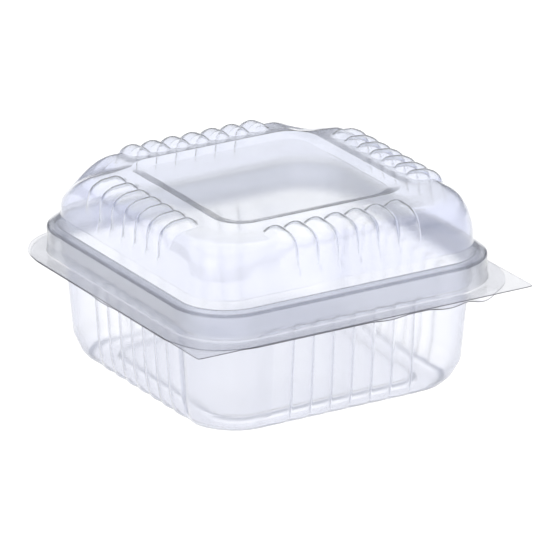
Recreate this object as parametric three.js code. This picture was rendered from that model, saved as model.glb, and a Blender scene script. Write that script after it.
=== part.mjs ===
// Hinged clear plastic food container: a square fluted tray and its domed lid.
//
// One thermoformed sheet makes both halves, joined at the back by a folded living hinge.
// Millimetres, +Z up. The origin is on the table under the middle of the container, the
// front (the opening side) faces -Y and the hinge runs along X at the back.

import * as THREE from 'three';

// ---- driving dimensions ---------------------------------------------------

const FLANGE_HALF = 65;        // from the middle to the side and front edges of either flange
const SHEET = 0.4;             // thickness of the sheet
const GAP = 0.4;               // between the closed flanges
const PARTING_Z = 38;          // underside of the lid flange above the table

const FLOOR_HALF = 38;         // raised floor of the tray
const FLOOR_RISE = 2;
const FOOT_HALF = 45.5;        // outer edge of the flat foot round it
const TRAY_BOTTOM_HALF = 51.2; // fluted wall, just above its rounded bottom edge
const TRAY_TOP_HALF = 53;      // and just under the rim
const RIM_HALF = 54.5;         // plain rim above it, which nests in the lid
const RIM_RISE = 10.6;         // top of the rim above the parting plane
const RIM_TURNED_DOWN = 3.7;   // how far outside the rim its turned-down wall stands

const BAND_HALF = 59.2;        // lid: the plain band that goes over the tray's rim
const BAND_RISE = 9;           // top of the band, above the parting plane
const DOME_FOOT_RISE = 13;     // foot of the dome, above the roof that slopes up from the band
const DOME_HALF = 54.2;
const RING_HALF = 35.8;        // inner edge of the ring round the sunk panel
const RING_Z = 69;             // underside of the sheet at that edge
const PANEL_HALF = 31.4;
const PANEL_DEPTH = 1.05;

const FLUTE_PITCH = 7.8;
const FLUTE_VALLEYS = 8;       // valleys on each side, so seven whole ribs between them
const FLUTE_DEPTH = 2.2;       // height of a lid rib, and depth of a tray valley below its plain wall
const CREST_DEPTH = 0.5;       // of the tray's crests below that wall

const HINGE_LENGTH = 80;
const HINGE_BEAD = 0.7;        // diameter of the folded edge
const HINGE_CLEARANCE = 0.3;   // from the folded edge to the flange edges

const TRAY_FLANGE_CORNER = 24; // corner radii in plan
const LID_FRONT_CORNER = 0.8;  // the lid's two front corners are left sharp as finger tabs
const LID_BACK_CORNER = 22;

// The hinge is the rearmost thing, so the flanges stop short of it there.
const FLANGE_BACK = FLANGE_HALF - HINGE_BEAD - HINGE_CLEARANCE;

// ---- how finely round things are cut --------------------------------------

const CORNER_STEPS = 6;        // chords to a quarter circle
const FLUTE_STEPS = 4;         // chords to one flute

// Flutes of no depth: a plain outline that is cut up like its fluted neighbours.
const PLAIN = { proud: 0, cut: 0 };

// ---- outlines -------------------------------------------------------------

// The corners of an outline in order, as the signs of x and y and the angle its arc starts at.
const CORNERS = [
  { sx: -1, sy: -1, start: Math.PI },
  { sx: 1, sy: -1, start: 1.5 * Math.PI },
  { sx: 1, sy: 1, start: 0 },
  { sx: -1, sy: 1, start: 0.5 * Math.PI },
];

// Distances along one side, from its middle, at which the flutes are cut into chords.
function fluteStations() {
  const steps = FLUTE_VALLEYS * FLUTE_STEPS;
  return Array.from({ length: steps + 1 }, (_, i) => FLUTE_PITCH * (i - steps / 2) / FLUTE_STEPS);
}

// The height of the fluted surface above its valleys, from 0 there to 1 on a crest: each rib
// is a circular arc, and neighbouring arcs meet in a sharp valley.
function ribArch(along) {
  const radius = (FLUTE_DEPTH ** 2 + (FLUTE_PITCH / 2) ** 2) / (2 * FLUTE_DEPTH);
  const fromCrest = along - FLUTE_PITCH * Math.round(along / FLUTE_PITCH);
  return 1 - (radius - Math.sqrt(radius ** 2 - fromCrest ** 2)) / FLUTE_DEPTH;
}

// How far the fluted surface stands out from the plain one: crests `proud` of it, or below it
// where that is negative, and valleys `cut` into it. Outside the outermost valleys it rises only
// back to the plain surface.
function fluteOffset(along, { proud = 0, cut = 0 }) {
  const outermost = FLUTE_PITCH * (FLUTE_VALLEYS - 1) / 2;
  const crest = Math.abs(along) <= outermost ? proud : 0;
  return (crest + cut) * ribArch(along) - cut;
}

// One closed outline at a height: a square of half width `half` with rounded corners, its back
// side at `back` if that differs. Where `flutes` is given its sides are fluted, along `out`,
// the direction in the section that points out of the sheet. The flutes keep their places
// along the side, and where a corner starts within them they follow its curve.
// Each point carries `turn`, how far round the outline it lies, so that unlike outlines can be
// stitched together.
function outline({ half, back = half, corner, z, flutes, out }) {
  const radii = typeof corner === 'number' ? CORNERS.map(() => corner) : corner;
  const stations = flutes ? fluteStations() : [];
  const points = [];
  CORNERS.forEach(({ sx, sy, start }, k) => {
    const radius = radii[k];
    const straight = half - radius;
    const middleY = sy < 0 ? -straight : back - radius;
    const overlap = Math.max(0, (stations.at(-1) ?? 0) - straight);
    const taken = Math.asin(overlap / radius);
    for (let i = 0; i <= CORNER_STEPS; i += 1) {
      const angle = start + taken + (Math.PI / 2 - 2 * taken) * (i / CORNER_STEPS);
      points.push({
        x: sx * straight + radius * Math.cos(angle),
        y: middleY + radius * Math.sin(angle),
        z,
        turn: 2 * k + i / CORNER_STEPS,
      });
    }
    const facing = start + Math.PI / 2;
    for (const along of (overlap > 0 ? stations.slice(1, -1) : stations)) {
      const bend = Math.max(0, Math.abs(along) - straight);
      const offset = fluteOffset(along, flutes);
      const reach = straight + Math.sqrt(radius ** 2 - bend ** 2) + offset * out.half;
      points.push({
        x: reach * Math.cos(facing) - along * Math.sin(facing),
        y: reach * Math.sin(facing) + along * Math.cos(facing),
        z: z + offset * out.z,
        turn: 2 * k + 1 + (along + half) / (2 * half),
      });
    }
  });
  return points;
}

// ---- solids from a stack of outlines ---------------------------------------

// Joins two neighbouring outlines with triangles, always stepping along the edge whose middle
// comes first, so that the two halves of each side are cut alike.
function stitch(lower, upper, triangles) {
  let a = 0;
  let b = 0;
  const turnOf = (ring, i) => (i < ring.length ? ring[i].turn : 2 * CORNERS.length);
  const middleOf = (ring, i) => (turnOf(ring, i) + turnOf(ring, i + 1)) / 2;
  while (a < lower.length || b < upper.length) {
    const stepLower = b >= upper.length
      || (a < lower.length && middleOf(lower, a) <= middleOf(upper, b));
    const p = lower[a % lower.length];
    const q = upper[b % upper.length];
    if (stepLower) {
      a += 1;
      triangles.push([p, lower[a % lower.length], q]);
    } else {
      b += 1;
      triangles.push([p, upper[b % upper.length], q]);
    }
  }
}

// Closes an outline with a fan from its middle; `up` says which way the fan faces.
function cap(ring, up, triangles) {
  const middle = { x: 0, y: 0, z: ring[0].z };
  ring.forEach((point, i) => {
    const next = ring[(i + 1) % ring.length];
    triangles.push(up ? [middle, point, next] : [middle, next, point]);
  });
}

// A closed skin: `rings` run from the middle of the lower face, out to the edge and back over
// the upper face to the middle again.
function skin(rings) {
  const triangles = [];
  cap(rings[0], false, triangles);
  for (let i = 0; i + 1 < rings.length; i += 1) {
    stitch(rings[i], rings[i + 1], triangles);
  }
  cap(rings[rings.length - 1], true, triangles);
  const positions = triangles.flatMap((corners) => corners.flatMap(({ x, y, z }) => [x, y, z]));
  const geometry = new THREE.BufferGeometry();
  geometry.setAttribute('position', new THREE.Float32BufferAttribute(positions, 3));
  geometry.computeVertexNormals();
  return geometry;
}

// The stations of a lower face that runs outward, each with `shift`, the step of length SHEET
// to the face above, mitred at each bend so that the sheet keeps its thickness. `side` is +1
// where the outside of the sheet is its upper face and -1 where it is the lower one.
function withNormals(lowerFace, side) {
  const normalOf = (from, to) => {
    const length = Math.hypot(to.half - from.half, to.z - from.z);
    return { half: -(to.z - from.z) / length, z: (to.half - from.half) / length };
  };
  const middle = { ...lowerFace[0], half: 0 };
  return lowerFace.map((station, i) => {
    const before = normalOf(i > 0 ? lowerFace[i - 1] : middle, station);
    const after = i + 1 < lowerFace.length ? normalOf(station, lowerFace[i + 1]) : before;
    const sum = { half: before.half + after.half, z: before.z + after.z };
    const spread = 1 + before.half * after.half + before.z * after.z;
    const scale = side / Math.hypot(sum.half, sum.z);
    return {
      ...station,
      shift: { half: SHEET * sum.half / spread, z: SHEET * sum.z / spread },
      out: { half: sum.half * scale, z: sum.z * scale },
    };
  });
}

// The upper face of the sheet over a station of its lower face. The flange is only lifted, so
// that its edge is square and its outline is the same on both faces.
function lifted({ shift, ...station }) {
  const { half, corner, z } = station;
  if (shift.half === 0) {
    return { ...station, z: z + shift.z };
  }
  return { ...station, half: half + shift.half, corner: corner + shift.half, z: z + shift.z };
}

// A thin-walled sheet from the profile of its lower face.
function sheetFrom(lowerFace, side) {
  const stations = withNormals(lowerFace, side);
  return skin([...stations, ...stations.map(lifted).reverse()].map(outline));
}

// ---- the tray ---------------------------------------------------------------

// The lower face of the tray: raised floor, foot, fluted wall, plain rim turned down outside,
// and the flange.
function trayProfile() {
  const flangeZ = PARTING_Z - GAP - SHEET;
  const rimZ = PARTING_Z + RIM_RISE;
  const cut = FLUTE_DEPTH;
  const proud = -CREST_DEPTH;
  return [
    { half: FLOOR_HALF, corner: 9, z: FLOOR_RISE },
    { half: FLOOR_HALF + 2, corner: 11, z: 0 },
    { half: FOOT_HALF, corner: 17, z: 0, flutes: PLAIN },
    { half: FOOT_HALF + 3.1, corner: 18.5, z: 1.2, flutes: { proud: proud / 2, cut: cut / 2 } },
    { half: FOOT_HALF + 4.5, corner: 17, z: 3.6, flutes: { proud, cut } },
    { half: TRAY_BOTTOM_HALF, corner: 14, z: 8.5, flutes: { proud, cut } },
    { half: TRAY_TOP_HALF, corner: 14, z: flangeZ - 1, flutes: { proud, cut } },
    { half: RIM_HALF, corner: 15.5, z: flangeZ + 0.6, flutes: PLAIN },
    { half: RIM_HALF, corner: 15.5, z: rimZ - 2.4 },
    { half: RIM_HALF + 2.1, corner: 17.5, z: rimZ },
    { half: RIM_HALF + RIM_TURNED_DOWN - 0.3, corner: 18.8, z: rimZ - 3 },
    { half: RIM_HALF + RIM_TURNED_DOWN, corner: 19.2, z: flangeZ },
    { half: FLANGE_HALF, back: FLANGE_BACK, corner: TRAY_FLANGE_CORNER, z: flangeZ },
  ];
}

// ---- the lid ----------------------------------------------------------------

// The lower face of the lid: sunk panel, sloping ring, dome with its ribs, the roof that slopes
// down from it to the band, the band that goes over the tray's rim, and the flange. The ribs
// stand proud of the dome's shoulder, end bluntly at the ring, and down the wall they turn into
// shallow flutes that run out.
function lidProfile() {
  const footZ = PARTING_Z + DOME_FOOT_RISE;
  const bandZ = PARTING_Z + BAND_RISE;
  const rib = FLUTE_DEPTH;
  const corners = [LID_FRONT_CORNER, LID_FRONT_CORNER, LID_BACK_CORNER, LID_BACK_CORNER];
  return [
    { half: PANEL_HALF, corner: 8, z: RING_Z - PANEL_DEPTH },
    { half: RING_HALF, corner: 10.5, z: RING_Z },
    { half: RING_HALF + 6, corner: 16, z: RING_Z - 0.8, flutes: PLAIN },
    { half: RING_HALF + 7.6, corner: 16.4, z: RING_Z - 1, flutes: { proud: 0.85 * rib } },
    { half: DOME_HALF - 5.8, corner: 18.5, z: RING_Z - 1.5, flutes: { proud: rib } },
    { half: DOME_HALF - 2.6, corner: 17.5, z: RING_Z - 3.4, flutes: { proud: rib } },
    { half: DOME_HALF - 1, corner: 16.5, z: RING_Z - 6.8, flutes: { proud: rib / 2, cut: rib / 3 } },
    { half: DOME_HALF - 0.1, corner: 15.5, z: RING_Z - 11.3, flutes: { cut: rib / 3 } },
    { half: DOME_HALF, corner: 15, z: footZ, flutes: PLAIN },
    { half: BAND_HALF - 2, corner: 18, z: bandZ + 2.6 },
    { half: BAND_HALF, corner: 20.2, z: bandZ },
    { half: BAND_HALF, corner: 20.2, z: PARTING_Z },
    { half: FLANGE_HALF, back: FLANGE_BACK, corner: corners, z: PARTING_Z },
  ];
}

// ---- the hinge ----------------------------------------------------------------

// The folded edge that joins the two flanges, as a thin bead along X.
function hingeBead() {
  const sides = 8;
  const radius = HINGE_BEAD / 2;
  return new THREE.CylinderGeometry(radius, radius, HINGE_LENGTH, sides).rotateZ(Math.PI / 2);
}

// ---- the scene ----------------------------------------------------------------

function named(name, geometry) {
  const clearPlastic = new THREE.MeshStandardMaterial({ color: 0xeceefb, roughness: 0.06, metalness: 0 });
  const mesh = new THREE.Mesh(geometry, clearPlastic);
  mesh.name = name;
  return mesh;
}

const OUTSIDE_BELOW = -1;
const OUTSIDE_ABOVE = 1;

const container = new THREE.Group();
container.add(named('base_tray', sheetFrom(trayProfile(), OUTSIDE_BELOW)));
container.add(named('lid', sheetFrom(lidProfile(), OUTSIDE_ABOVE)));

const hinge = named('hinge_fold', hingeBead());
hinge.position.set(0, FLANGE_HALF - HINGE_BEAD / 2, PARTING_Z - GAP / 2);
container.add(hinge);

export default container;
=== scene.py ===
import math

import bpy
import numpy as np
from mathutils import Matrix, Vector


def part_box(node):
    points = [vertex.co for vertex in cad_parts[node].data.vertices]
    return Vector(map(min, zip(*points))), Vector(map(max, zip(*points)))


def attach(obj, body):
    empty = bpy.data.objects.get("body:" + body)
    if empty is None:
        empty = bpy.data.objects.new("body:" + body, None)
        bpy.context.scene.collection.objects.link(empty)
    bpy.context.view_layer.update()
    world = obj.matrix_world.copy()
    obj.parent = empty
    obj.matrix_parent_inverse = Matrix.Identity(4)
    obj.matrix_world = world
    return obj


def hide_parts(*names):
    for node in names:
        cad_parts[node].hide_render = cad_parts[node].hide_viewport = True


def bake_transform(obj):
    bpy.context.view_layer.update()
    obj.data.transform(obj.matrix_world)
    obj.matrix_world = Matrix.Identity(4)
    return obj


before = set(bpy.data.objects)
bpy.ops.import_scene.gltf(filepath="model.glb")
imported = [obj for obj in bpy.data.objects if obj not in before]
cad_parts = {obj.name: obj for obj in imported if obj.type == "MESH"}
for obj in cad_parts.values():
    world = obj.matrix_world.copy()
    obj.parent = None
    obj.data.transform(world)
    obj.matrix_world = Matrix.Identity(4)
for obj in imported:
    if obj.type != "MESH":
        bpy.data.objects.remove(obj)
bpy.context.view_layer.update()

# Hinged clear plastic food container: the looks of its tray, its lid and their hinge.
# Each half is one thin sheet, built as a middle surface and given its thickness along the
# surface's own normals. Sizes here are millimetres and become metres when a mesh is made.

MM = 0.001

# ---- sizes from the CAD frame ------------------------------------------------

lid_low, lid_high = (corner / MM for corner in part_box("lid"))
hinge_low, hinge_high = (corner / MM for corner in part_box("hinge_fold"))

FLANGE_HALF = lid_high.x        # middle to side and front edges of either flange
FLANGE_BACK = lid_high.y        # and to its back edge, which stops short of the hinge
PARTING_Z = lid_low.z           # underside of the lid's flange
HINGE_Z = (hinge_low.z + hinge_high.z) / 2
HINGE_HALF = hinge_high.x       # half its length
TOP = lid_high.z                # of the closed container

# ---- driving dimensions --------------------------------------------------------

SHEET = 0.3                     # thickness
FLANGE_GAP = 0.5                # between the closed flanges, next to the walls
EDGE_GAP = 0.1                  # and at their edges, where they lean on each other

FLOOR_HALF = 38.2               # raised floor of the tray
FLOOR_RISE = 2.0
FLOOR_SLOPE = 1.8               # width in plan of the fold from it down to the foot
FOOT_HALF = 45.6                # outer edge of the flat foot
TRAY_BOTTOM_HALF = 51.4         # fluted wall, above its rounded bottom edge
TRAY_TOP_HALF = 53.2            # and under the rim
RIM_HALF = 54.5                 # plain rim above the fluted wall
RIM_RISE = 10.6                 # its top above the parting plane
RIM_TURNED_DOWN = 3.7           # from the rim out to its turned-down wall

BAND_HALF = 59.4                # lid: the band round the tray's rim
BAND_RISE = 9.0                 # above the parting plane, as every rise of the lid is
DOME_HALF = 54.4                # foot of the dome, above the roof that slopes up from the band
DOME_RISE = 13.0
FLUTES_OUT_RISE = 15.8          # where the flutes of the dome's wall have run out
FLUTES_RISE = 19.4              # where they are deepest
RIBS_LOW_RISE = 24.0            # where the ribs turn into them
SHOULDER_LOW_RISE = 27.9        # lower and upper bend of the dome's shoulder
SHOULDER_RISE = 29.5
PANEL_HALF = 31.4               # sunk top panel
PANEL_RISE = 30.0
RING_HALF = 35.8                # recess edge round the panel
RING_RISE = 31.05
STRIP_HALF = 41.4               # where the ribs end on the strip round the recess

PITCH = 7.8                     # of the flutes and of the ribs
VALLEYS = 8                     # valleys on a side
FLUTE_DEPTH = 2.3               # of a valley below the tray's plain wall, and height of a lid rib
CREST_DEPTH = 0.5               # of the tray's crests below its plain wall
VALLEY_ROUND = 0.12             # how far the sharp bottom of a valley is softened
RIB_END = 3.2                   # length of a rib's rounded end
LID_FLANK = PITCH / 2           # from the outermost valleys back to the plain wall
TRAY_FLANK = 9.2

FLANGE_INSET = 0.1              # of the tray's flange inside the lid's
TRAY_FLANGE_CORNER = 24.0
LID_FRONT_CORNER = 0.8          # the lid's front corners are sharp tabs
LID_BACK_CORNER = 22.0

HINGE_START = 0.03              # from the flanges' back edges to the hinge strip
HINGE_MARGIN = 0.02             # from its fold to the back of the CAD box

BACK_FADE = 10.0                # along which the leaning flanges part again towards the hinge

# Where the tray's flange sags below the lid's: side, middle, half width and depth.
FLANGE_SAGS = [
    ("front", 9.0, 8.5, 0.6),
    ("front", 32.0, 9.0, 1.1),
    ("front", 47.0, 8.5, 1.6),
    ("left", -2.0, 9.0, 0.5),
    ("right", 20.0, 12.0, 0.5),
]

# ---- how finely things are cut ---------------------------------------------------

FROM_VALLEY = [0.0, 0.18, 0.45, 0.9, 1.6, 2.6]   # cuts across half a flute, from its valley
FLANK_STEP = 1.8                # across the gentle flanks at the ends of a side
CORNER_STEPS = 14               # from the last flute to the middle of the corner
BEND_STEP = math.radians(16)
BEND_REACH = 0.48               # most of a straight stretch that the bend at its end may take
CORNER_FREE = 0.4               # share of a corner's radius that the flutes never reach
FOLD_STEPS = 8                  # round the folded hinge
HINGE_STEPS = 40                # and along it
SHARP_EDGE = math.radians(60)

# ---- looks -------------------------------------------------------------------------

SHEET_IOR = 1.57                # of PET
SLANT_SHADE_BLEND = 0.2               # the lower, the nearer to edge-on the painted shade sets in
PANEL_HAZE = 0.06               # roughness of the flat middle of the panel and the floor
LID_HAZE = 0.12                 # and of the drawn walls
TRAY_HAZE = 0.12
HAZE_UNEVEN = 0.25              # share by which it varies
SHEET_RIPPLE = 0.12             # strength of the ripple of drawn sheet
HINGE_RIPPLE = 0.1
WAVES_PER_METRE = 38            # broad part of the ripple
WAVE_DEPTH = 0.0012             # metres, at full strength
GRAINS_PER_METRE = 260          # fine part
GRAIN_DEPTH = 0.00005
SHADOW_TINT = (0.97, 0.97, 0.98)

# The sheet's tint seen straight on, and its darker colour seen at a grazing angle, which is painted
# shade standing in for the dark edges and lines that reflection of the surroundings gives.
TRAY_WALL = ((0.975, 0.98, 1.0), (0.33, 0.36, 0.53))
# Painted shade: the dark band along the fold round the tray's raised floor.
FOLD_PAINTED_SHADE = ((0.38, 0.40, 0.48), (0.18, 0.20, 0.26))
LID_WALL = ((0.875, 0.89, 0.98), (0.60, 0.63, 0.68))
LID_TOP = ((0.925, 0.935, 0.96), (0.68, 0.71, 0.76))
ROOF = ((0.92, 0.93, 0.97), (0.73, 0.76, 0.83))
# Painted shade: the dark line along the top edge of the lid's band, where it meets the roof.
BAND_EDGE_PAINTED_SHADE = ((0.50, 0.51, 0.55), (0.04, 0.06, 0.12))
BAND = ((0.90, 0.91, 0.945), (0.04, 0.05, 0.08))
FLANGE = ((0.985, 0.985, 0.99), (0.73, 0.745, 0.80))

# Where those colours are, by height, with bands of painted shade at the tray's fold and along the
# top edge of the lid's band. Between two rows they run into each other.
TRAY_TINTS_AND_PAINTED_SHADE = [
    (0, TRAY_WALL),
    (FLOOR_RISE - 1.1, TRAY_WALL),
    (FLOOR_RISE - 0.8, FOLD_PAINTED_SHADE),
    (FLOOR_RISE - 0.4, FOLD_PAINTED_SHADE),
    (FLOOR_RISE - 0.1, TRAY_WALL),
    (PARTING_Z - 3, TRAY_WALL),
    (PARTING_Z - 0.9, FLANGE),
    (PARTING_Z - 0.05, FLANGE),
    (PARTING_Z + 0.25, BAND),
    (TOP, BAND),
]
LID_TINTS_AND_PAINTED_SHADE = [
    (PARTING_Z - 1, FLANGE),
    (PARTING_Z + 0.32, FLANGE),
    (PARTING_Z + 0.6, BAND),
    (PARTING_Z + BAND_RISE - 0.4, BAND),
    (PARTING_Z + BAND_RISE, BAND_EDGE_PAINTED_SHADE),
    (PARTING_Z + BAND_RISE + 0.4, BAND_EDGE_PAINTED_SHADE),
    (PARTING_Z + BAND_RISE + 0.7, ROOF),
    (PARTING_Z + DOME_RISE - 0.3, ROOF),
    (PARTING_Z + DOME_RISE + 0.6, LID_WALL),
    (PARTING_Z + PANEL_RISE - 1.2, LID_WALL),
    (PARTING_Z + PANEL_RISE - 0.2, LID_TOP),
    (TOP, LID_TOP),
]

CUT_SHADE_DARK = (0.06, 0.06, 0.08)   # painted shade on the die-cut edge, in patches
CUT_SHADE_LIGHT = (0.15, 0.15, 0.19)
CUT_CLEAR = 0.2                 # share of light that it lets through
CUT_HAZE = (0.28, 0.5)          # lowest and highest roughness
PATCHES_PER_METRE = 70
PATCH_STOPS = (0.3, 0.7)        # of their noise, where it is wholly dark and wholly light
KNIFE_MARKS_PER_METRE = 2200
KNIFE_MARK_STRETCH = 0.12       # upright, where the marks are longer
KNIFE_MARK_STRENGTH = 0.35
KNIFE_MARK_DEPTH = 0.00003      # metres


# ---- profiles ----------------------------------------------------------------------

# The sides in order are front, right, back and left. A 1 says that the corner where a side
# starts, or the one where it finishes, is at the back.
AT_BACK = [(0, 0), (0, 1), (1, 1), (1, 0)]


def station(half, corner, z, bend=0.0, proud=0.0, cut=0.0, end=1.0, end_cut=0.0, dip=0.0,
            back=None, step=2.5):
    """One level of a sheet: a square outline with rounded corners, and what its flutes do there.

    half is its half width and corner the radius of its corners, one for all or four from the front
    left one on. bend is the radius that rounds the profile here. proud and cut are how far crests
    stand out of the plain surface and valleys go into it. end runs from 0 at a rib's tip to 1 where
    it is whole. end_cut is the share of the cut that the outermost valleys get. dip is how far the
    middle of a back corner lies below the level. back is the half width behind, where it isn't
    `half`. step is the longest step of the profile after this station.
    """
    return {
        "half": half,
        "back": half if back is None else back,
        "corner": np.ones(len(AT_BACK)) * corner,
        "z": z,
        "bend": bend,
        "proud": proud,
        "cut": cut,
        "end": end,
        "end_cut": end_cut,
        "dip": dip,
        "step": step,
    }


def mix(a, b, share):
    """The station that lies `share` of the way from a to b."""
    return {key: a[key] + (b[key] - a[key]) * share for key in a}


def distance(a, b):
    """The way from one station to another in the sheet's section."""
    return math.hypot(b["half"] - a["half"], b["z"] - a["z"])


def rounded_bend(before, here, after):
    """The stations of the arc that rounds the profile at `here`."""
    arrive, leave = distance(before, here), distance(here, after)
    turn = abs(
        math.atan2(after["z"] - here["z"], after["half"] - here["half"])
        - math.atan2(here["z"] - before["z"], here["half"] - before["half"])
    )
    turn = min(turn, 2 * math.pi - turn)
    reach = min(here["bend"] * math.tan(turn / 2), BEND_REACH * arrive, BEND_REACH * leave)
    first = mix(here, before, reach / arrive)
    last = mix(here, after, reach / leave)
    steps = max(2, math.ceil(turn / BEND_STEP))
    shares = [k / steps for k in range(steps + 1)]
    return [mix(mix(first, here, t), mix(here, last, t), t) for t in shares]


def fine_profile(profile):
    """The profile with its bends rounded and its long stretches cut into steps."""
    places = [profile[0]]
    for before, here, after in zip(profile, profile[1:], profile[2:]):
        if here["bend"] > 0:
            places += rounded_bend(before, here, after)
        else:
            places.append(here)
    places.append(profile[-1])
    fine = [places[0]]
    for a, b in zip(places, places[1:]):
        steps = max(1, math.ceil(distance(a, b) / a["step"]))
        fine += [mix(a, b, (k + 1) / steps) for k in range(steps)]
    return fine


# ---- outlines ------------------------------------------------------------------------

def flute_stations(flank):
    """Distances along a side, from its middle, of the cuts across its flutes. `flank` is the
    way from the outermost valleys to where the wall is plain again."""
    cuts = []
    for k in range(VALLEYS + 1):
        crest = PITCH * (k - VALLEYS / 2)
        valley = crest + PITCH / 2
        cuts.append(crest)
        if k < VALLEYS:
            cuts += [valley - d for d in reversed(FROM_VALLEY[1:])]
            cuts += [valley + d for d in FROM_VALLEY]
    steps = math.ceil((flank - PITCH / 2) / FLANK_STEP)
    outside = [cuts[-1] + (flank - PITCH / 2) * k / steps for k in range(1, steps + 1)]
    return np.array([-d for d in reversed(outside)] + cuts + outside)


def rib_arch(from_crest):
    """A rib's circular section, from 1 on its crest to 0 half a pitch away."""
    radius = (FLUTE_DEPTH ** 2 + (PITCH / 2) ** 2) / (2 * FLUTE_DEPTH)
    reach = np.minimum(from_crest, PITCH / 2)
    return 1 - (radius - np.sqrt(radius ** 2 - reach ** 2)) / FLUTE_DEPTH


def flute_offset(level, along):
    """How far the fluted surface stands out of the plain one at each cut along a side."""
    from_crest = np.abs(along - PITCH * np.round(along / PITCH))
    from_valley = PITCH / 2 - from_crest
    from_valley = np.sqrt(from_valley ** 2 + VALLEY_ROUND ** 2) - VALLEY_ROUND
    from_crest = PITCH / 2 - from_valley
    from_tip = (1 - level["end"]) * PITCH / 2
    arch = rib_arch(np.hypot(from_crest, from_tip))
    end_valley = PITCH * (VALLEYS - 1) / 2
    past_end = np.abs(along) - end_valley
    arch = np.where(past_end > 0, smooth_step(past_end, 0, along[-1] - end_valley), arch)
    crest = np.where(past_end <= 0, level["proud"], 0.0)
    in_end_rib = past_end > -PITCH / 2
    cut = np.where(in_end_rib, level["cut"] * level["end_cut"], level["cut"])
    return (crest + cut) * arch - cut


def half_corner(straight, radius, fluted):
    """From the last flute to the middle of the corner, in even steps, as distances along and
    across the side."""
    run = max(0.0, straight - fluted)
    start = math.asin(max(0.0, fluted - straight) / radius)
    length = run + radius * (math.pi / 4 - start)
    leg = []
    for k in range(1, CORNER_STEPS + 1):
        past_straight = length * k / CORNER_STEPS - run
        angle = start + max(0.0, past_straight) / radius
        along = straight + min(0.0, past_straight) + radius * math.sin(angle)
        leg.append((along, radius * math.cos(angle)))
    return leg


def outline(level, out, cuts):
    """The points of one level, all the way round. `out` is the profile's outward direction, and
    `cuts` are the distances along each side of the cuts across its flutes."""
    points = []
    offset = flute_offset(level, cuts)
    spread = min(1.0, (level["half"] - CORNER_FREE * max(level["corner"])) / cuts[-1])
    fluted_half = cuts[-1] * spread
    shift = np.array([0.0, level["back"] - level["half"]])
    for side, (start_at_back, finish_at_back) in enumerate(AT_BACK):
        facing = math.pi * (side - 1) / 2
        face = np.array([math.cos(facing), math.sin(facing)])
        along = np.array([-math.sin(facing), math.cos(facing)])
        before, after = level["corner"][side], level["corner"][(side + 1) % len(AT_BACK)]

        def place(distance_along, radius, across, at_back):
            """A spot on this side, `across` from the line between the centres of its corners."""
            reach = level["half"] - radius + across
            return face * reach + along * distance_along + shift * at_back

        start = half_corner(level["half"] - before, before, fluted_half)
        for k in range(CORNER_STEPS - 2, -1, -1):
            distance_along, across = start[k]
            z = level["z"] - level["dip"] * start_at_back * smooth_step(k + 1, 0, CORNER_STEPS)
            points.append([*place(-distance_along, before, across, start_at_back), z])
        for distance_along, lift in zip(cuts * spread, offset):
            radius = before if distance_along < 0 else after
            past_straight = max(0.0, abs(distance_along) - (level["half"] - radius))
            across = math.sqrt(radius ** 2 - past_straight ** 2) + lift * out[0]
            spot = place(distance_along, radius, across, start_at_back * finish_at_back)
            points.append([*spot, level["z"] + lift * out[1]])
        finish = half_corner(level["half"] - after, after, fluted_half)
        for k, (distance_along, across) in enumerate(finish):
            z = level["z"] - level["dip"] * finish_at_back * smooth_step(k + 1, 0, CORNER_STEPS)
            points.append([*place(distance_along, after, across, finish_at_back), z])
    return points


def outward_directions(levels, side):
    """The direction out of the sheet in each level's section; side +1 has the outside above."""
    path = np.array([[0.0, levels[0]["z"]]] + [[s["half"], s["z"]] for s in levels])
    run = np.diff(path, axis=0)
    run /= np.linalg.norm(run, axis=1)[:, None]
    turn = np.vstack([run[:-1] + run[1:], run[-1:]])[:len(levels)]
    turn = turn / np.linalg.norm(turn, axis=1)[:, None]
    return side * np.column_stack([-turn[:, 1], turn[:, 0]])


# ---- sheets --------------------------------------------------------------------------

def middle_surface(profile, side, flank):
    """A grid of points: the levels of the profile, from the middle outward, by the way round."""
    levels = fine_profile(profile)
    outs = outward_directions(levels, side)
    cuts = flute_stations(flank)
    return np.array([outline(level, out, cuts) for level, out in zip(levels, outs)])


def surface_normals(grid):
    """Unit normals of a grid of points that runs from the middle outward and all the way round."""
    round_it = np.roll(grid, -1, axis=1) - np.roll(grid, 1, axis=1)
    outward = np.gradient(grid, axis=0)
    normals = np.cross(outward, round_it)
    return normals / np.linalg.norm(normals, axis=2)[:, :, None]


def sheet_mesh(name, grid):
    """A closed skin round a middle surface. Its rim is left for the second material."""
    normals = surface_normals(grid)
    upper = grid + normals * SHEET / 2
    lower = grid - normals * SHEET / 2
    rows, count = grid.shape[:2]
    vertices = np.concatenate([upper.reshape(-1, 3), lower.reshape(-1, 3)])
    under = rows * count
    faces = []
    for i in range(rows - 1):
        for j in range(count):
            k = (j + 1) % count
            a, b, c, d = i * count + j, (i + 1) * count + j, (i + 1) * count + k, i * count + k
            faces.append((a, b, c, d))
            faces.append((under + a, under + d, under + c, under + b))
    last = (rows - 1) * count
    for j in range(count):
        k = (j + 1) % count
        faces.append((last + j, under + last + j, under + last + k, last + k))
    middle_up, middle_down = len(vertices), len(vertices) + 1
    vertices = np.vstack([vertices, upper[0].mean(axis=0), lower[0].mean(axis=0)])
    for j in range(count):
        k = (j + 1) % count
        faces.append((middle_up, j, k))
        faces.append((middle_down, under + k, under + j))
    piece = mesh_object(name, vertices, faces)
    rim = 2 * (rows - 1) * count
    for face in piece.data.polygons[rim:rim + count]:
        face.material_index = 1
    return piece


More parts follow.
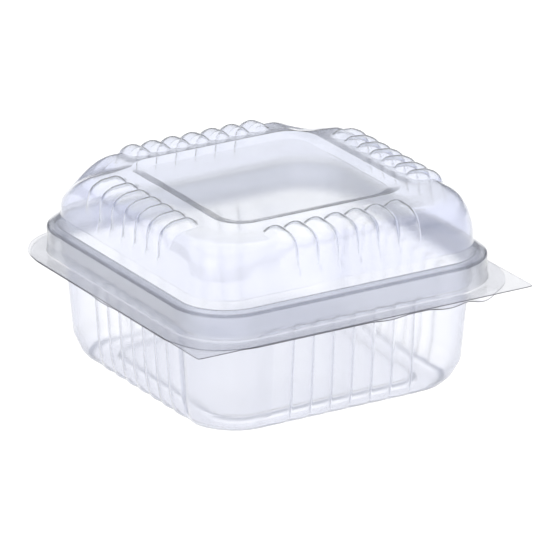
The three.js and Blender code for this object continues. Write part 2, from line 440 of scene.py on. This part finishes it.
def mesh_object(name, vertices, faces):
    """An object from vertices in millimetres."""
    mesh = bpy.data.meshes.new(name)
    mesh.from_pydata((np.asarray(vertices) * MM).tolist(), [], faces)
    mesh.validate()
    mesh.shade_smooth()
    mesh.set_sharp_from_angle(angle=SHARP_EDGE)
    piece = bpy.data.objects.new(name, mesh)
    bpy.context.scene.collection.objects.link(piece)
    return piece


def bump(x, middle, half_width):
    """A smooth hump from 0 to 1 and back over twice half_width."""
    t = np.clip((x - middle) / half_width, -1, 1)
    return (1 - t ** 2) ** 2


def smooth_step(x, low, high):
    """From 0 below `low` to 1 above `high`, smoothly."""
    t = np.clip((x - low) / (high - low), 0, 1)
    return t * t * (3 - 2 * t)


# ---- the tray --------------------------------------------------------------------------

def tray_grid():
    """Raised floor, foot, fluted wall, plain rim turned down outside, and the flange. Its free
    edge leans on the lid's flange, except near the hinge, and sags below it in a few places."""
    half_sheet = SHEET / 2
    flange_z = PARTING_Z - FLANGE_GAP - half_sheet
    rim_z = PARTING_Z + RIM_RISE + half_sheet
    outer = RIM_HALF + RIM_TURNED_DOWN
    flutes = {"proud": -CREST_DEPTH, "cut": FLUTE_DEPTH, "end_cut": 1}
    half_flutes = {"proud": -CREST_DEPTH / 2, "cut": FLUTE_DEPTH / 2, "end_cut": 1}
    profile = [
        # the raised floor and the fold round it
        station(FLOOR_HALF - 3, 7, FLOOR_RISE + half_sheet),
        station(FLOOR_HALF, 9, FLOOR_RISE + half_sheet, bend=0.35),
        station(FLOOR_HALF + FLOOR_SLOPE, 11, half_sheet, bend=0.35),
        # the foot and the rounded bottom edge
        station(FOOT_HALF, 17, half_sheet, bend=1.2, step=0.8),
        station(FOOT_HALF + 3.3, 18.5, 1.6, bend=2.5, step=0.8, **half_flutes),
        station(FOOT_HALF + 4.7, 17, 4.0, bend=3.0, **flutes),
        # the fluted wall
        station(TRAY_BOTTOM_HALF, 14, 9.0, bend=8.0, step=5.0, **flutes),
        station(TRAY_TOP_HALF, 14, flange_z - 1.6, bend=0.5, step=0.4, **flutes),
        # the plain rim, turned down outside
        station(RIM_HALF, 15.5, flange_z + 0.4, bend=0.5),
        station(RIM_HALF, 15.5, rim_z - 2.6, bend=1.5),
        station(RIM_HALF + 1.9, 17.4, rim_z - 0.1, bend=1.2),
        station(outer - 0.5, 18.8, rim_z - 2.8, bend=2.0),
        station(outer - 0.1, 19.2, flange_z, bend=0.8),
        # the flange's free edge
        station(FLANGE_HALF - FLANGE_INSET, TRAY_FLANGE_CORNER, flange_z, back=FLANGE_BACK),
    ]
    grid = middle_surface(profile, side=-1, flank=TRAY_FLANK)
    x, y = grid[:, :, 0], grid[:, :, 1]
    far_out = np.maximum(np.abs(x), np.abs(y))
    beside_wall = outer + 0.5
    loose = smooth_step(far_out, beside_wall, FLANGE_HALF) * (grid[:, :, 2] < PARTING_Z)
    in_front = 1 - smooth_step(y, RIM_HALF - BACK_FADE, RIM_HALF)
    grid[:, :, 2] += (FLANGE_GAP - EDGE_GAP) * loose * in_front
    sides = {"front": (-y, x), "left": (-x, y), "right": (x, y)}
    for side, middle, half_width, depth in FLANGE_SAGS:
        towards, along = sides[side]
        on_side = smooth_step(towards, RIM_HALF, outer)
        grid[:, :, 2] -= depth * bump(along, middle, half_width) * loose * on_side
    return grid


# ---- the lid ---------------------------------------------------------------------------

def lid_grid():
    """Sunk panel, the strip round it, the dome with its ribs, the roof that slopes from it to the
    band, the band and the flange. The ribs start on the strip, stand proud of the shoulder and
    turn into shallow flutes that run out down the wall. The back corners of the dome dip."""
    flange_z = PARTING_Z + SHEET / 2
    rib = FLUTE_DEPTH
    tabs = np.array([LID_FRONT_CORNER, LID_FRONT_CORNER, LID_BACK_CORNER, LID_BACK_CORNER])
    profile = [
        # the sunk panel and its recess edge
        station(PANEL_HALF - 2.5, 6, PARTING_Z + PANEL_RISE),
        station(PANEL_HALF, 8, PARTING_Z + PANEL_RISE, bend=2.5),
        station(RING_HALF, 10.5, PARTING_Z + RING_RISE, bend=1.5, end=0),
        # the strip round it, and the ribs' rounded ends
        station(STRIP_HALF, 16, PARTING_Z + RING_RISE - 0.9, proud=rib, end=0, dip=0.8,
                step=0.3),
        station(STRIP_HALF + RIB_END, 16.6, PARTING_Z + RING_RISE - 1.25, bend=1.0, proud=rib,
                dip=1.4, step=1.2),
        # the shoulder
        station(DOME_HALF - 5.8, 18.5, PARTING_Z + SHOULDER_RISE, bend=3.0, proud=rib, dip=3.5,
                step=1.2),
        station(DOME_HALF - 2.4, 17.5, PARTING_Z + SHOULDER_LOW_RISE, bend=4.0, proud=rib,
                dip=5.3, step=1.2),
        # the wall, where the ribs turn into flutes that run out
        station(DOME_HALF - 0.9, 16.5, PARTING_Z + RIBS_LOW_RISE, bend=6.0, proud=0.55 * rib,
                cut=0.3 * rib, dip=3.8),
        station(DOME_HALF - 0.1, 15.5, PARTING_Z + FLUTES_RISE, bend=6.0, cut=0.35 * rib,
                dip=1.4),
        station(DOME_HALF, 15, PARTING_Z + FLUTES_OUT_RISE),
        station(DOME_HALF, 15, PARTING_Z + DOME_RISE, bend=1.0),
        # the roof and the band
        station(BAND_HALF - 2.0, 18.0, PARTING_Z + BAND_RISE + 1.5, bend=2.0),
        station(BAND_HALF, 20.2, PARTING_Z + BAND_RISE, bend=1.0),
        station(BAND_HALF, 20.2, flange_z, bend=0.6),
        # the flange's free edge
        station(FLANGE_HALF, tabs, flange_z, back=FLANGE_BACK),
    ]
    return middle_surface(profile, side=1, flank=LID_FLANK)


# ---- the hinge -------------------------------------------------------------------------

def hinge_strip():
    """The strip between the flanges, folded shut like a U that lies on its side."""
    upper_z, lower_z = PARTING_Z + SHEET / 2, PARTING_Z - FLANGE_GAP - SHEET / 2
    radius = (upper_z - lower_z) / 2
    bend_y = FLANGE_HALF - SHEET / 2 - radius - HINGE_MARGIN
    turns = np.linspace(-math.pi / 2, math.pi / 2, FOLD_STEPS + 1)
    line = [(FLANGE_BACK + HINGE_START, lower_z)]
    line += [(bend_y + radius * math.cos(a), HINGE_Z + radius * math.sin(a)) for a in turns]
    line += [(FLANGE_BACK + HINGE_START, upper_z)]
    line = np.array(line)
    run = np.gradient(line, axis=0)
    run /= np.linalg.norm(run, axis=1)[:, None]
    across = np.column_stack([run[:, 1], -run[:, 0]]) * SHEET / 2
    section = np.vstack([line + across, (line - across)[::-1]])
    cuts = np.linspace(-HINGE_HALF, HINGE_HALF, HINGE_STEPS + 1)
    vertices = [(x, y, z) for x in cuts for y, z in section]
    count = len(section)
    faces = []
    for i in range(len(cuts) - 1):
        for j in range(count):
            k = (j + 1) % count
            faces.append((i * count + j, i * count + k, (i + 1) * count + k, (i + 1) * count + j))
    faces.append(tuple(reversed(range(count))))
    faces.append(tuple(range((len(cuts) - 1) * count, len(cuts) * count)))
    return mesh_object("hinge_strip", vertices, faces)


# ---- shader nodes that come up more than once -----------------------------------------

def noise(tree, place, scale, detail):
    """A noise with about `scale` features to the metre."""
    node = tree.nodes.new("ShaderNodeTexNoise")
    node.inputs["Scale"].default_value = scale
    node.inputs["Detail"].default_value = detail
    tree.links.new(place, node.inputs["Vector"])
    return node.outputs["Fac"]


def bumps(tree, height, strength, depth):
    """A bump node, with the depth in metres that a height of 1 has at full strength."""
    node = tree.nodes.new("ShaderNodeBump")
    node.inputs["Strength"].default_value = strength
    node.inputs["Distance"].default_value = depth
    tree.links.new(height, node.inputs["Height"])
    return node


def remap(tree, value, before, after, curve="LINEAR"):
    """The value, carried from the range `before` to the range `after`."""
    node = tree.nodes.new("ShaderNodeMapRange")
    node.interpolation_type = curve
    for name, number in zip(("From Min", "From Max", "To Min", "To Max"), before + after):
        node.inputs[name].default_value = number
    tree.links.new(value, node.inputs["Value"])
    return node.outputs["Result"]


def colour_ramp(tree, value, stops):
    """A colour for each value from 0 to 1. `stops` are places with their colours, in order."""
    node = tree.nodes.new("ShaderNodeValToRGB")
    elements = node.color_ramp.elements
    for element, (place, colour) in zip((elements[0], elements[1]), (stops[0], stops[-1])):
        element.position = place
        element.color = (*colour, 1)
    for place, colour in stops[1:-1]:
        elements.new(place).color = (*colour, 1)
    tree.links.new(value, node.inputs["Fac"])
    return node.outputs["Color"]


# ---- materials -------------------------------------------------------------------------

def clear_plastic(name, tints_and_shade, ripple, wall_haze):
    """Clear thermoformed sheet. Its colour deepens at a grazing angle, painted shade that stands in
    for the dark edges that reflection gives, and it changes by height, with bands of painted shade;
    its gloss varies a little, and its faces have the faint ripple of drawn sheet. `tints_and_shade`
    are heights in millimetres with the colours there."""
    material = bpy.data.materials.new(name)
    material.use_nodes = True
    tree = material.node_tree
    tree.nodes.clear()
    new, link = tree.nodes.new, tree.links.new
    place = new("ShaderNodeTexCoord").outputs["Object"]

    # The tint by height, and the painted shade at a grazing angle.
    split = new("ShaderNodeSeparateXYZ")
    link(place, split.inputs[0])
    height = remap(tree, split.outputs["Z"], (0, TOP * MM), (0, 1))
    slant_shade_mask = new("ShaderNodeLayerWeight")
    slant_shade_mask.inputs["Blend"].default_value = SLANT_SHADE_BLEND
    tint = new("ShaderNodeMix")
    tint.data_type = "RGBA"
    share, straight_on, painted_slant_shade = tint.inputs[0], tint.inputs[6], tint.inputs[7]
    tint_and_painted_shade = tint.outputs[2]
    link(slant_shade_mask.outputs["Facing"], share)
    for which, socket in enumerate((straight_on, painted_slant_shade)):
        stops = [(z / TOP, colours[which]) for z, colours in tints_and_shade]
        link(colour_ramp(tree, height, stops), socket)

    # The roughness, lower in the flat middle than from the ribs outward.
    spread = new("ShaderNodeVectorMath")
    spread.operation = "ABSOLUTE"
    link(place, spread.inputs[0])
    apart = new("ShaderNodeSeparateXYZ")
    link(spread.outputs[0], apart.inputs[0])
    half = new("ShaderNodeMath")
    half.operation = "MAXIMUM"
    link(apart.outputs["X"], half.inputs[0])
    link(apart.outputs["Y"], half.inputs[1])
    ring = (RING_HALF * MM, STRIP_HALF * MM)
    haze = remap(tree, half.outputs[0], ring, (PANEL_HAZE, wall_haze), "SMOOTHSTEP")
    broad = noise(tree, place, WAVES_PER_METRE, detail=1.5)
    uneven = remap(tree, broad, (0, 1), (1 - HAZE_UNEVEN, 1 + HAZE_UNEVEN))
    gloss = new("ShaderNodeMath")
    gloss.operation = "MULTIPLY"
    link(haze, gloss.inputs[0])
    link(uneven, gloss.inputs[1])

    # The ripple, broad and fine.
    waves = bumps(tree, broad, ripple, WAVE_DEPTH)
    fine = noise(tree, place, GRAINS_PER_METRE, detail=2)
    grain = bumps(tree, fine, ripple, GRAIN_DEPTH)
    link(waves.outputs["Normal"], grain.inputs["Normal"])

    sheet = new("ShaderNodeBsdfPrincipled")
    sheet.inputs["Transmission Weight"].default_value = 1
    sheet.inputs["IOR"].default_value = SHEET_IOR
    link(tint_and_painted_shade, sheet.inputs["Base Color"])
    link(gloss.outputs[0], sheet.inputs["Roughness"])
    link(grain.outputs["Normal"], sheet.inputs["Normal"])

    # Lamps shine through the sheet, so that it throws no hard shadow.
    path = new("ShaderNodeLightPath")
    clear = new("ShaderNodeBsdfTransparent")
    clear.inputs["Color"].default_value = (*SHADOW_TINT, 1)
    choose = new("ShaderNodeMixShader")
    link(path.outputs["Is Shadow Ray"], choose.inputs[0])
    link(sheet.outputs[0], choose.inputs[1])
    link(clear.outputs[0], choose.inputs[2])
    output = new("ShaderNodeOutputMaterial")
    link(choose.outputs[0], output.inputs["Surface"])
    return material


def cut_edge_plastic():
    """The die-cut edge of the sheet: painted shade, darker than its faces, with the fine upright
    marks of the knife and a gloss that varies along it."""
    material = bpy.data.materials.new("cut_edge_plastic")
    material.use_nodes = True
    tree = material.node_tree
    new, link = tree.nodes.new, tree.links.new
    sheet = tree.nodes["Principled BSDF"]
    sheet.inputs["Transmission Weight"].default_value = CUT_CLEAR
    sheet.inputs["IOR"].default_value = SHEET_IOR

    place = new("ShaderNodeTexCoord").outputs["Object"]
    upright = new("ShaderNodeMapping")
    upright.inputs["Scale"].default_value = (1, 1, KNIFE_MARK_STRETCH)
    link(place, upright.inputs["Vector"])
    marks = noise(tree, upright.outputs["Vector"], KNIFE_MARKS_PER_METRE, detail=3)
    patches = noise(tree, place, PATCHES_PER_METRE, detail=2)

    stops = list(zip(PATCH_STOPS, (CUT_SHADE_DARK, CUT_SHADE_LIGHT)))
    link(colour_ramp(tree, patches, stops), sheet.inputs["Base Color"])
    link(remap(tree, marks, (0, 1), CUT_HAZE), sheet.inputs["Roughness"])
    relief = bumps(tree, marks, KNIFE_MARK_STRENGTH, KNIFE_MARK_DEPTH)
    link(relief.outputs["Normal"], sheet.inputs["Normal"])
    return material


# ---- build -----------------------------------------------------------------------------

tray = sheet_mesh("tray_sheet", tray_grid())
lid = sheet_mesh("lid_sheet", lid_grid())
hinge = hinge_strip()

tray.data.materials.append(clear_plastic("tray_plastic", TRAY_TINTS_AND_PAINTED_SHADE, SHEET_RIPPLE, TRAY_HAZE))
lid.data.materials.append(clear_plastic("lid_plastic", LID_TINTS_AND_PAINTED_SHADE, SHEET_RIPPLE, LID_HAZE))
hinge.data.materials.append(clear_plastic("hinge_plastic", LID_TINTS_AND_PAINTED_SHADE, HINGE_RIPPLE, LID_HAZE))
cut_edge = cut_edge_plastic()
tray.data.materials.append(cut_edge)
lid.data.materials.append(cut_edge)

for piece, node in ((tray, "base_tray"), (lid, "lid"), (hinge, "hinge_fold")):
    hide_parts(node)
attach(tray, "base")
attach(lid, "lid")
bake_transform(hinge)

# ---- floor, light and camera --------------------------------------------------------------

FLOOR_SIZE = 6.0                # metres, as all lengths here are
FLOOR_DROP = 0.0002             # just under the object
FLOOR_PAINTED_LIGHT_NEAR = (0.6, 1.06)      # strength of the painted light it gives off, a pool round the object, out to the first distance from the middle
FLOOR_PAINTED_LIGHT_FAR = (1.6, 0.25)         # and from the second distance outward
FLOOR_GREY = 0.1                # of its paint, which the lamps light

SKY_BELOW = (0.30, 0.31, 0.35)
SKY_OVERHEAD = (0.85, 0.87, 0.93)
SKY_GREYS = [(-3, 0.5), (2, 0.05), (13, 0.04), (18, 0.7), (35, 0.92)]   # by degrees of elevation
SKY_COOL = (1, 1.02, 1.08)      # tint of those greys


def pale_floor():
    """A pale floor that gives off painted light: a painted pool of light, bright round the object
    and dimmer far away as under a studio light. Its paint is lit by the lamps besides.
    """
    mesh = bpy.data.meshes.new("floor")
    s = FLOOR_SIZE / 2
    mesh.from_pydata([(-s, -s, 0), (s, -s, 0), (s, s, 0), (-s, s, 0)], [], [(0, 1, 2, 3)])
    floor = bpy.data.objects.new("floor", mesh)
    floor.location.z = -FLOOR_DROP
    bpy.context.scene.collection.objects.link(floor)
    material = bpy.data.materials.new("floor_painted_light")
    material.use_nodes = True
    tree = material.node_tree
    tree.nodes.clear()
    new, link = tree.nodes.new, tree.links.new
    place = new("ShaderNodeTexCoord")
    length = new("ShaderNodeVectorMath")
    length.operation = "LENGTH"
    link(place.outputs["Object"], length.inputs[0])
    reach, strength = zip(FLOOR_PAINTED_LIGHT_NEAR, FLOOR_PAINTED_LIGHT_FAR)
    painted_light_fade = remap(tree, length.outputs["Value"], reach, strength, "SMOOTHSTEP")
    painted_glow = new("ShaderNodeEmission")
    painted_glow.inputs["Color"].default_value = (1, 1, 1, 1)
    link(painted_light_fade, painted_glow.inputs["Strength"])
    matt = new("ShaderNodeBsdfDiffuse")
    matt.inputs["Color"].default_value = (FLOOR_GREY, FLOOR_GREY, FLOOR_GREY, 1)
    both = new("ShaderNodeAddShader")
    link(painted_glow.outputs[0], both.inputs[0])
    link(matt.outputs[0], both.inputs[1])
    output = new("ShaderNodeOutputMaterial")
    link(both.outputs[0], output.inputs["Surface"])
    mesh.materials.append(material)


def surround():
    """The studio round the object: a dark band above the horizon, and brighter overhead."""
    world = bpy.data.worlds.new("studio")
    bpy.context.scene.world = world
    world.use_nodes = True
    tree = world.node_tree
    tree.nodes.clear()
    new, link = tree.nodes.new, tree.links.new
    place = new("ShaderNodeTexCoord")
    split = new("ShaderNodeSeparateXYZ")
    link(place.outputs["Generated"], split.inputs[0])
    height = remap(tree, split.outputs["Z"], (-1, 1), (0, 1))
    stops = [(0.0, SKY_BELOW)]
    for elevation, grey in SKY_GREYS:
        position = (1 + math.sin(math.radians(elevation))) / 2
        stops.append((position, [grey * cool for cool in SKY_COOL]))
    stops.append((1.0, SKY_OVERHEAD))
    sky = new("ShaderNodeBackground")
    link(colour_ramp(tree, height, stops), sky.inputs["Color"])
    sky.inputs["Strength"].default_value = 1.0
    output = new("ShaderNodeOutputWorld")
    link(sky.outputs[0], output.inputs["Surface"])


def soft_light(name, place, aim, size, watts):
    """A rectangular lamp that shines from `place` towards `aim`."""
    data = bpy.data.lights.new(name, "AREA")
    data.shape = "RECTANGLE"
    data.size, data.size_y = size
    data.energy = watts
    lamp = bpy.data.objects.new(name, data)
    lamp.location = place
    lamp.rotation_euler = (Vector(place) - Vector(aim)).to_track_quat("Z", "Y").to_euler()
    bpy.context.scene.collection.objects.link(lamp)


def camera():
    """The camera of the photograph: far off with a long lens, above the front left corner."""
    azimuth, elevation = math.radians(-31.2), math.radians(20.85)
    metres_away = 2.6
    view_width = 0.1885             # at the object
    middle_right, middle_up = 0.0047, -0.0057   # from the middle of the parting plane
    back = Vector((
        math.sin(azimuth) * math.cos(elevation),
        -math.cos(azimuth) * math.cos(elevation),
        math.sin(elevation),
    ))
    right = Vector((math.cos(azimuth), math.sin(azimuth), 0))
    up = back.cross(right)
    aim = Vector((0, 0, PARTING_Z * MM)) + right * middle_right + up * middle_up
    data = bpy.data.cameras.new("camera")
    data.sensor_width = 36
    data.lens = data.sensor_width * metres_away / view_width
    data.clip_start, data.clip_end = 0.1, 20
    eye = bpy.data.objects.new("camera", data)
    eye.location = aim + back * metres_away
    eye.rotation_euler = back.to_track_quat("Z", "Y").to_euler()
    bpy.context.scene.collection.objects.link(eye)
    bpy.context.scene.camera = eye


pale_floor()
surround()
soft_light("top_light", place=(0.2, 0.4, 1.5), aim=(0, 0, 0), size=(1.4, 1.4), watts=3)
soft_light("left_light", place=(-1.6, -0.4, 0.8), aim=(0, 0, 0.03), size=(0.8, 1.2), watts=2)
camera()

# A line of sight crosses many faces of clear sheet, so that it takes many bounces.
scene = bpy.context.scene
scene.view_settings.view_transform = "Standard"
scene.view_settings.look = "None"
scene.cycles.max_bounces = 28
scene.cycles.transmission_bounces = 28
scene.cycles.glossy_bounces = 12
scene.cycles.transparent_max_bounces = 32
scene.cycles.caustics_refractive = True
scene.cycles.caustics_reflective = True
